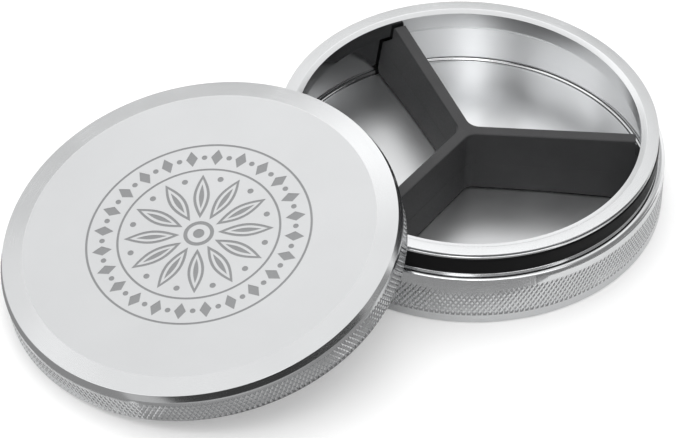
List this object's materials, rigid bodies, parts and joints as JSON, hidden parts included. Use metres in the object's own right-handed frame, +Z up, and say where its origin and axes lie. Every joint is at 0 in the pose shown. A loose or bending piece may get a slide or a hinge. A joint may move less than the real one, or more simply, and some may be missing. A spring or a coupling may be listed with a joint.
{
  "type": "pocket tin",
  "caption": "Round knurled aluminium pocket tin with a sealed neck, a three-way silicone divider and its pull-off lid leaning on the rim.",
  "frame": {"origin": "centre of the can's underside, on the surface that the tin stands on", "axes": "+Z up along the can's axis; +X along the right arm of the divider; the lid leans at the -X, -Y side"},
  "size_m": [0.1147, 0.1023, 0.0231],
  "materials": {
    "satin_aluminium": "satin anodised, with a diamond knurl on the outer walls and a polished inside",
    "black_rubber": "smooth black rubber",
    "charcoal_silicone": "matte silicone"
  },
  "bodies": {
    "can": {"base_can": "satin_aluminium", "seal_band": "black_rubber", "divider_insert": "charcoal_silicone"},
    "lid": {"lid": "satin_aluminium"}
  },
  "joints": [
    {"name": "lid_lift", "type": "slide", "parent": "can", "child": "lid", "axis": [0, 0, 1], "range_m": [0, 0.05]}
  ]
}
